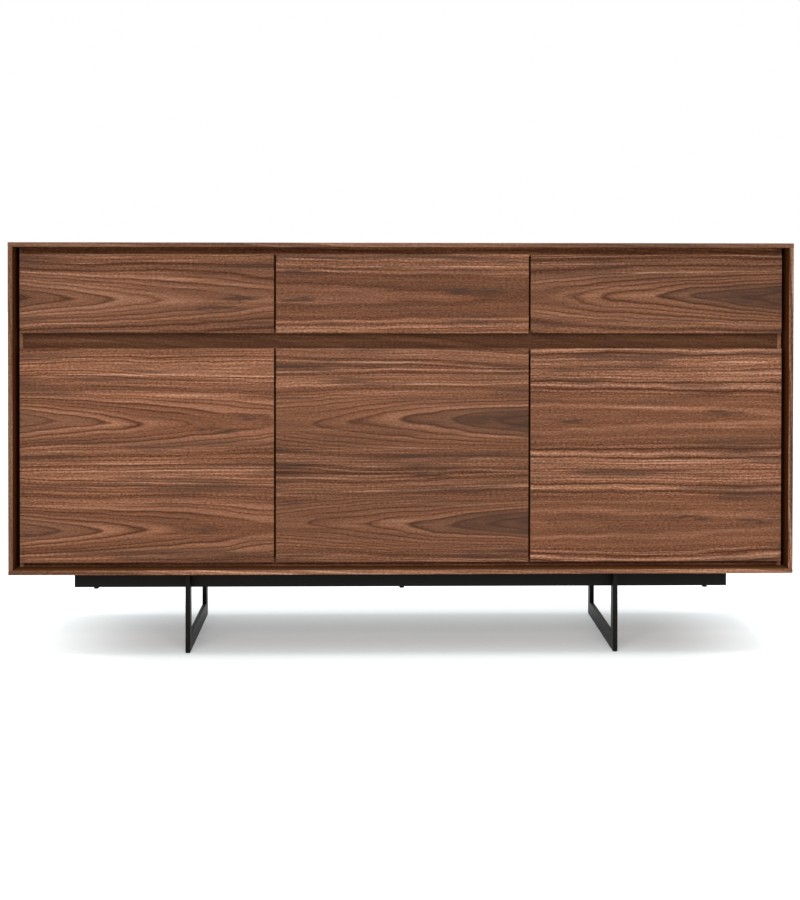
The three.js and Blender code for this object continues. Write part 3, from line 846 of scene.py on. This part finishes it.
def front_figures():
    """The drawer fronts and doors, with arched or straight grain and dark eyes where the photo has them."""
    def cut(heart, tip, **settings):
        return Figure("XZY", heart, tip, face=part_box("left_door")[0].y, **settings)

    return {
        "left_drawer_front": cut(0.7290, -0.664, slope=ARCHED, core=0.55, seed=1.0, smoke=0.60, contrast=0.90,
                                 eyes=((-0.333, 0.731), (-0.379, 0.710))),
        "centre_drawer_front": cut(0.7350, 0.30, **STRAIGHT, seed=7.3, smoke=0.70, contrast=1.15,
                                   eyes=((0.116, 0.744), (0.183, 0.744), (-0.211, 0.782), (-0.216, 0.726))),
        "right_drawer_front": cut(0.7340, 0.505, slope=-ARCHED, core=0.85, seed=4.4, smoke=0.60, tone=0.95),
        "left_door": cut(0.4760, -0.604, slope=ARCHED, core=0.55, leaf=0.2196, seed=2.0, smoke=0.60,
                         contrast=0.92, tone=1.10,
                         eyes=((-0.415, 0.256), (-0.375, 0.458), (-0.303, 0.486), (-0.751, 0.246))),
        "centre_door": cut(0.4800, -0.010, slope=-ARCHED, core=0.90, leaf=0.2150, seed=5.6, smoke=0.70,
                           contrast=0.90, tone=0.90, eyes=((0.055, 0.369),)),
        "right_door": cut(0.4810, 0.80, **STRAIGHT, leaf=0.2130, seed=9.1, smoke=0.65, contrast=1.15,
                          tone=1.12,
                          eyes=((0.668, 0.494), (0.335, 0.479), (0.586, 0.279), (0.744, 0.274))),
    }


class CREDENZA_OT_case(bpy.types.Operator):
    """Finishes the outer frame, the inner carcass and the shelves in walnut"""
    bl_idname = "credenza.case"
    bl_label = "Walnut Case"

    def execute(self, context):
        veneer(frame_figures())
        inner = walnut("walnut_inner", Figure(**INNER_BOARD, seed=26.0, tone=0.80))
        dress(inner, "left_shelf", "right_shelf")
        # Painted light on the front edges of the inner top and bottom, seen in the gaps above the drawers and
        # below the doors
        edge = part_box("inner_bottom")[0].y
        painted_lights = {"inner_top": TOP_PAINTED_LIGHT, "inner_bottom": BOTTOM_PAINTED_LIGHT}
        veneer({name: Figure(**INNER_BOARD, seed=28.0, tone=0.85, painted_light=(edge, lift))
                for name, lift in painted_lights.items()})
        # Painted shade on the finger rail: its low tone and warm tint add to the rendered shade of the
        # channel between the drawers and the doors
        rail = Figure("XZY", heart=0.62, tip=-0.3, slope=0.06, face=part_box("finger_rail")[0].y, seed=31.0,
                      tone=0.58, cast=RAIL_SHADE_TINT)
        dress(walnut("walnut_rail", rail), "finger_rail")
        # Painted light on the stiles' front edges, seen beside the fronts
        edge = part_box("left_inner_side")[0].y
        stiles = Figure(**INNER_WALL, seed=35.0, painted_light=(edge, STILE_PAINTED_LIGHT))
        dress(walnut("walnut_stiles", stiles), "left_inner_side", "right_inner_side")
        # Painted shade on the partitions' front edges, darkening the gaps between the columns
        stain = ("Y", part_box("left_partition")[0].y, -1, "walnut_stain")
        walls = Figure(**INNER_WALL, seed=36.0, stain=stain)
        dress(walnut("walnut_partitions", walls), "left_partition", "right_partition")
        back = Figure("XZY", heart=0.5, tip=0.2, slope=0.05, face=0.2, leaf=0.36, seed=38.0, tone=0.85)
        dress(walnut("walnut_back", back), "back_panel")
        return {"FINISHED"}


def frame_figures():
    """The four panels of the outer frame, whose inner faces are darkened with painted shade."""
    def cut(axes, heart, tip, face, **settings):
        return Figure(axes, heart, tip, face=face, **FRAME_CUT, **settings)

    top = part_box("top_panel")
    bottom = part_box("bottom_panel")
    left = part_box("left_side_panel")
    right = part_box("right_side_panel")
    return {
        "top_panel": cut("XYZ", 0.03, -0.3, top[1].z, seed=12.0, tone=0.97,
                         stain=("Z", top[0].z, -1, "walnut_stain")),
        # The bottom panel's tone of 1.53 is painted light: its front edge is lighter than the other panels'
        # for the light that falls on it
        "bottom_panel": cut("XYZ", 0.02, 0.4, bottom[0].z, seed=15.0, tone=1.53,
                            # its top face inside the reveal gets painted shade
                            stain=("Z", bottom[1].z, 1, "floor_stain")),
        "left_side_panel": cut("ZYX", 0.05, 0.4, left[0].x, seed=18.0, tone=0.9,
                               stain=("X", left[1].x, 1, "walnut_stain")),
        "right_side_panel": cut("ZYX", -0.04, 0.5, right[1].x, seed=21.0, tone=1.08,
                                stain=("X", right[0].x, -1, "walnut_stain")),
    }


class CREDENZA_OT_drawers(bpy.types.Operator):
    """Finishes the drawer boxes in pale hardwood"""
    bl_idname = "credenza.drawers"
    bl_label = "Drawer Boxes"

    def execute(self, context):
        bottoms = pale_hardwood("hardwood_bottoms")
        dress(bottoms, *(column + "_drawer_bottom" for column in COLUMNS))
        for column in COLUMNS:
            box = column + "_drawer_box"
            dress(pale_hardwood("hardwood_" + box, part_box(box)), box)
        return {"FINISHED"}


class CREDENZA_OT_metal(bpy.types.Operator):
    """Finishes the base, the hinges and the drawer slides"""
    bl_idname = "credenza.metal"
    bl_label = "Metal Finishes"

    def execute(self, context):
        black = powder_coat("black_powder_coat")
        dress(black, "left_leg", "right_leg", *BASE_RAILS)
        dress(black, *(name for name in NODES if "_hinge_" in name))
        zinc = plated("zinc_plate")
        dress(zinc, *(name for name in NODES if name.endswith("_slide")))
        return {"FINISHED"}


# Fittings of the base

SOCKET_RADIUS = 0.27  # in diameters of the bolt's head
SOCKET_DEPTH = 0.55  # in heights of the bolt's head
SOCKET_OVER = 0.001
BOLT_EDGE = 0.0005
CAP_PLAY = 0.0002
CAP_RIM = 0.0030
CAP_RISE = 0.0003
CAP_EDGE = 0.0003
DROP_SHAPE = (1.0, 1.0, 0.75)
WELD_VOXELS = 6  # in the radius of a bead
WELD_SUNK = 0.35  # in radii of a bead


class CREDENZA_OT_base_bolts(bpy.types.Operator):
    """Bolts the base rails to the case, with a washer under each socket head"""
    bl_idname = "credenza.base_bolts"
    bl_label = "Base Bolts"

    def execute(self, context):
        black = powder_coat("bolt_black")
        for rail in BASE_RAILS:
            fit(copies(bolt_model(), rail + "_bolts", bolt_places(rail)), black, "case")
        return {"FINISHED"}


def bolt_model():
    """A washer with a socket head on it, which looks up from the origin."""
    size = sizes()
    bolt = cylinder("bolt", size.washer / 2, 0.0, size.washer_height)
    step(bolt, UP, (size.washer - size.bolt_head) / 2, size.bolt_height)
    top = size.washer_height + size.bolt_height
    floor = top - size.bolt_height * SOCKET_DEPTH
    subtract(bolt, cylinder("socket", size.bolt_head * SOCKET_RADIUS, floor, top + SOCKET_OVER, sides=6))
    soften(bolt, BOLT_EDGE)
    return bolt


def bolt_places(rail):
    size = sizes()
    low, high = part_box(rail)
    middle = (low.y + high.y) / 2
    xs = spread(low.x + size.bolt_inset, high.x - size.bolt_inset, size.bolts_per_rail)
    return [looking((x, middle, low.z), -UP) for x in xs]


class CREDENZA_OT_tube_caps(bpy.types.Operator):
    """Closes the open ends of the base rails with plastic caps"""
    bl_idname = "credenza.tube_caps"
    bl_label = "Tube Caps"

    def execute(self, context):
        plastic = moulded_plastic("cap_plastic")
        for rail in BASE_RAILS:
            low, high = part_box(rail)
            middle = (low + high) / 2
            for side, hand in SIDES.items():
                turn = Matrix.Rotation(0.0 if hand > 0 else math.pi, 4, "Z")
                place = Matrix.Translation((x_end((low, high), hand), middle.y, middle.z)) @ turn
                cap = copies(cap_model(rail), rail + "_" + side + "_cap", [place])
                fit(cap, plastic, "case")
        return {"FINISHED"}


def cap_model(rail):
    """A tube cap at the origin, its plate towards +X and its plug towards -X."""
    size = sizes()
    low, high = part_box(rail)
    half = (high - low) / 2
    cap = block("cap", (0.0, -half.y, -half.z), (size.cap_plate, half.y, half.z))
    step(cap, -RIGHT, size.tube_wall + CAP_PLAY, size.cap_plug)
    step(cap, RIGHT, CAP_RIM, CAP_RISE)
    soften(cap, CAP_EDGE)
    return cap


class CREDENZA_OT_welds(bpy.types.Operator):
    """Lays the weld beads between the legs' posts and the base rails"""
    bl_idname = "credenza.welds"
    bl_label = "Weld Beads"

    def execute(self, context):
        black = powder_coat("weld_black")
        for leg in ("left_leg", "right_leg"):
            fit(copies(weld_model(), leg + "_welds", weld_places(leg)), black, "case")
        return {"FINISHED"}


def weld_model():
    """An upright bead of overlapping drops on the Z axis, as long as a rail is high."""
    size = sizes()
    low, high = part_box(BASE_RAILS[0])
    fresh()
    bpy.ops.mesh.primitive_uv_sphere_add(segments=16, ring_count=10, radius=size.weld_bead)
    bead = settled("bead", DROP_SHAPE)
    drops = int((high.z - low.z - 2 * size.weld_bead) / size.weld_step)
    apply(bead, "ARRAY", count=drops, use_relative_offset=False, use_constant_offset=True,
          constant_offset_displace=UP * size.weld_step)
    apply(bead, "REMESH", mode="VOXEL", voxel_size=size.weld_bead / WELD_VOXELS)
    bpy.ops.object.shade_smooth()
    return bead


def weld_places(leg):
    """Both edges of the leg's bar, at the seam with each rail."""
    size = sizes()
    low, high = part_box(leg)
    front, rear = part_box(BASE_RAILS[0]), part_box(BASE_RAILS[1])
    bottom = front[0].z + size.weld_bead
    inside = size.weld_bead * WELD_SUNK
    return [Matrix.Translation((x, y, bottom))
            for y in (front[0].y, rear[1].y) for x in (low.x + inside, high.x - inside)]


# Screws

CROSS_ARM = 0.30  # in diameters of the screw's head
CROSS_WIDTH = 0.07
CROSS_FLOOR = 0.45  # in heights of the screw's head
SCREW_RIM = 0.22
FOOT_SCREW = 0.9  # head of a hinge foot's screw, against a wood screw's
FOOT_DEPTH = 0.017
FOOT_SCREW_MARGIN = 0.006
FOOT_WIDTH = 0.024
SOCKET_SCREWS = (0.011, 0.020)  # distances from the hinge's pin
SUNK = 0.0002
BACK_SCREWS_ACROSS = 9
BACK_SCREWS_UP = 3
BACK_SCREW_MARGIN = 10  # parts of the way from the middle to a partition
FRONT_SCREW_SIDE = 0.2  # shares of the drawer box's width and height
FRONT_SCREW_LOW = 0.30
FRONT_SCREW_HIGH = 0.22


def screw_model(head, height):
    """A screw head with rounded rim and cross recess, which looks up from the origin."""
    screw = cylinder("screw", head / 2, 0.0, height)
    arm, width = head * CROSS_ARM, head * CROSS_WIDTH
    for x, y in ((arm, width), (width, arm)):
        subtract(screw, block("slot", (-x, -y, height * CROSS_FLOOR), (x, y, height * 2)))
    soften(screw, min(height, head) * SCREW_RIM)
    return screw


class CREDENZA_OT_slide_screws(bpy.types.Operator):
    """Screws the cabinet and drawer channels of the slides to the walls and drawer boxes"""
    bl_idname = "credenza.slide_screws"
    bl_label = "Slide Screws"

    def execute(self, context):
        zinc = plated("screw_zinc", "XYZ")
        for column in COLUMNS:
            for kind, body in (("cabinet", "case"), ("drawer", column + "_drawer")):
                places = []
                for side, hand in SIDES.items():
                    channel = column + "_drawer_" + side + "_" + kind + "_slide"
                    places += slide_screw_places(channel, kind, hand)
                model = screw_model(sizes().screw_head, sizes().slide_screw_height)
                fit(copies(model, column + "_" + kind + "_slide_screws", places), zinc, body)
        return {"FINISHED"}


def slide_screw_places(name, kind, hand):
    """Two places on a channel's web; hand is -1 on a drawer's left and +1 on its right."""
    size = sizes()
    low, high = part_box(name)
    outward = -hand if kind == "cabinet" else hand
    x = x_end((low, high), -outward) + outward * size.slide_steel
    margin = size.slide_screw_margin
    return [looking((x, y, (low.z + high.z) / 2), RIGHT * outward) for y in (low.y + margin, high.y - margin)]


class CREDENZA_OT_hinge_screws(bpy.types.Operator):
    """Screws the hinge feet to the carcass and the hinge sockets to the doors"""
    bl_idname = "credenza.hinge_screws"
    bl_label = "Hinge Screws"

    def execute(self, context):
        black = powder_coat("screw_black")
        size = sizes()
        for column in COLUMNS:
            feet = [place for end in ENDS for place in foot_screw_places(column, end)]
            model = screw_model(size.screw_head * FOOT_SCREW, size.screw_height)
            fit(copies(model, column + "_hinge_foot_screws", feet), black, "case")
            plates = [place for end in ENDS for place in socket_screw_places(column, end)]
            model = screw_model(size.hinge_screw, size.screw_height)
            screws = copies(model, column + "_hinge_socket_screws", plates)
            fit(screws, black, column + "_door")
        return {"FINISHED"}


def hinge_pin(column):
    """The pin's place along X, and +1 where the door hangs on its left edge or -1 on its right."""
    joint = next(joint for joint in frame["joints"] if joint["name"] == column + "_door_hinge")
    low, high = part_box(column + "_door")
    return joint["pos_m"][0], 1 if joint["pos_m"][0] < (low.x + high.x) / 2 else -1


def foot_screw_places(column, end):
    low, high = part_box(column + "_door_" + end + "_hinge_bracket")
    _, hand = hinge_pin(column)
    far = x_end((low, high), hand)
    z, look = (low.z, -UP) if end == "top" else (high.z, UP)
    return [looking((far - hand * distance, high.y - FOOT_DEPTH / 2, z), look)
            for distance in (FOOT_SCREW_MARGIN, FOOT_WIDTH - FOOT_SCREW_MARGIN)]


def socket_screw_places(column, end):
    low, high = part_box(column + "_door_" + end + "_hinge_socket")
    pin, hand = hinge_pin(column)
    sunk = sizes().screw_height + SUNK
    z, look = (high.z - sunk, UP) if end == "top" else (low.z + sunk, -UP)
    return [looking((pin + hand * distance, (low.y + high.y) / 2, z), look) for distance in SOCKET_SCREWS]


class CREDENZA_OT_wood_screws(bpy.types.Operator):
    """Screws the back panel to the carcass and the fronts to the drawer boxes"""
    bl_idname = "credenza.wood_screws"
    bl_label = "Wood Screws"

    def execute(self, context):
        zinc = plated("wood_screw_zinc")
        size = sizes()
        model = screw_model(size.screw_head, size.screw_height)
        fit(copies(model, "back_panel_screws", back_screw_places()), zinc, "case")
        for column in COLUMNS:
            model = screw_model(size.screw_head, size.screw_height)
            drawer = column + "_drawer"
            screws = copies(model, drawer + "_front_screws", front_screw_places(column))
            fit(screws, zinc, drawer)
        return {"FINISHED"}


def back_screw_places():
    """Rows into the inner top and bottom, and columns into the two partitions."""
    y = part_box("back_panel")[1].y
    floor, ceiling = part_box("inner_bottom"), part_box("inner_top")
    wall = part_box("right_partition")
    across = (wall[0].x + wall[1].x) / 2
    rows = [(floor[0].z + floor[1].z) / 2, (ceiling[0].z + ceiling[1].z) / 2]
    margin = across / BACK_SCREW_MARGIN
    xs = spread(floor[0].x + margin, floor[1].x - margin, BACK_SCREWS_ACROSS)
    places = [(x, z) for z in rows for x in xs]
    heights = spread(*rows, BACK_SCREWS_UP + 2)[1:-1]
    places += [(x, z) for z in heights for x in (-across, across)]
    return [looking((x, y, z), BACK) for x, z in places]


def front_screw_places(column):
    """Four places on the inner face of a drawer box's front wall."""
    low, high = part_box(column + "_drawer_box")
    width, height = high.x - low.x, high.z - low.z
    xs = (low.x + width * FRONT_SCREW_SIDE, high.x - width * FRONT_SCREW_SIDE)
    zs = (low.z + height * FRONT_SCREW_LOW, high.z - height * FRONT_SCREW_HIGH)
    return [looking((x, low.y + BOX_WALL, z), BACK) for x in xs for z in zs]


# Door catches

CATCH_GAP = 0.0003
POLE = 0.0004
POLE_MARGIN = 0.0022
CATCH_BACK = 0.022
CATCH_UNDER_RAIL = 0.0001
CATCH_EDGE = 0.0002
STRIKER_HALF = 0.44  # in widths of the catch
STRIKER_UNDER_RAIL = 0.0008
STRIKER_HOLE = 0.7  # radius, in diameters of a hinge screw's head
HOLE_REACH = 0.01
STRIKER_SCREW = 1.3  # head, against a hinge screw's
STRIKER_SCREW_HEIGHT = 0.85  # in thicknesses of the striker


class CREDENZA_OT_catches(bpy.types.Operator):
    """Mounts a magnetic catch under the finger rail for each door, with its steel striker on the door"""
    bl_idname = "credenza.catches"
    bl_label = "Door Catches"

    def execute(self, context):
        plastic = moulded_plastic("catch_plastic")
        steel = plated("striker_steel", "XYZ")
        for column in COLUMNS:
            fit(catch(column), plastic, "case")
            fit(striker(column), steel, column + "_door")
        return {"FINISHED"}


def catch_middle(column):
    """Middle of a catch along X, near the door's free edge."""
    _, hand = hinge_pin(column)
    return x_end(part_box(column + "_door"), hand) - hand * sizes().catch_inset


def catch(column):
    """The catch's housing, with a raised pole plate on its front."""
    size = sizes()
    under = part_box("finger_rail")[0].z
    middle, half = catch_middle(column), size.catch_width / 2
    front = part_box(column + "_door")[1].y + size.striker + CATCH_GAP + POLE
    low = (middle - half, front, under - size.catch_height)
    high = (middle + half, front + CATCH_BACK, under - CATCH_UNDER_RAIL)
    piece = block(column + "_door_catch", low, high)
    step(piece, -BACK, POLE_MARGIN, POLE)
    soften(piece, CATCH_EDGE)
    return piece


def striker(column):
    """The steel plate on the door that the catch holds, with a sunk screw in its middle."""
    size = sizes()
    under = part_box("finger_rail")[0].z
    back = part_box(column + "_door")[1].y
    middle, half = catch_middle(column), size.catch_width * STRIKER_HALF
    low = (middle - half, back, under - size.catch_height)
    high = (middle + half, back + size.striker, under - STRIKER_UNDER_RAIL)
    plate = block(column + "_door_striker", low, high)
    centre = looking((middle, back, (low[2] + high[2]) / 2), BACK)
    hole = cylinder("hole", size.hinge_screw * STRIKER_HOLE, -HOLE_REACH, HOLE_REACH)
    hole.data.transform(centre)
    subtract(plate, hole)
    soften(plate, CATCH_EDGE)
    screw = screw_model(size.hinge_screw * STRIKER_SCREW, size.striker * STRIKER_SCREW_HEIGHT)
    screw.data.transform(centre)
    fresh()
    screw.select_set(True)
    plate.select_set(True)
    bpy.context.view_layer.objects.active = plate
    bpy.ops.object.join()
    return plate


# Panel and registration

OPERATORS = (
    CREDENZA_OT_stage,
    CREDENZA_OT_fronts,
    CREDENZA_OT_case,
    CREDENZA_OT_drawers,
    CREDENZA_OT_metal,
    CREDENZA_OT_base_bolts,
    CREDENZA_OT_tube_caps,
    CREDENZA_OT_welds,
    CREDENZA_OT_slide_screws,
    CREDENZA_OT_hinge_screws,
    CREDENZA_OT_wood_screws,
    CREDENZA_OT_catches,
)


class CREDENZA_PT_sidebar(bpy.types.Panel):
    """Lists the credenza's colours, sizes and operators"""
    bl_idname = "CREDENZA_PT_sidebar"
    bl_label = "Credenza"
    bl_space_type = "VIEW_3D"
    bl_region_type = "UI"
    bl_category = "Credenza"

    def draw(self, context):
        for group in (context.scene.credenza_colours, context.scene.credenza_sizes):
            box = self.layout.box()
            for key in group.__annotations__:
                box.prop(group, key)
        for operator in OPERATORS:
            self.layout.operator(operator.bl_idname)


CLASSES = (CredenzaColours, CredenzaSizes, *OPERATORS, CREDENZA_PT_sidebar)


def register():
    for cls in CLASSES:
        bpy.utils.register_class(cls)
    bpy.types.Scene.credenza_colours = PointerProperty(type=CredenzaColours)
    bpy.types.Scene.credenza_sizes = PointerProperty(type=CredenzaSizes)


def unregister():
    del bpy.types.Scene.credenza_sizes
    del bpy.types.Scene.credenza_colours
    for cls in reversed(CLASSES):
        bpy.utils.unregister_class(cls)


def main():
    register()
    bpy.ops.credenza.stage()
    bpy.ops.credenza.fronts()
    bpy.ops.credenza.case()
    bpy.ops.credenza.drawers()
    bpy.ops.credenza.metal()
    bpy.ops.credenza.base_bolts()
    bpy.ops.credenza.tube_caps()
    bpy.ops.credenza.welds()
    bpy.ops.credenza.slide_screws()
    bpy.ops.credenza.hinge_screws()
    bpy.ops.credenza.wood_screws()
    bpy.ops.credenza.catches()


if __name__ == "__main__":
    main()
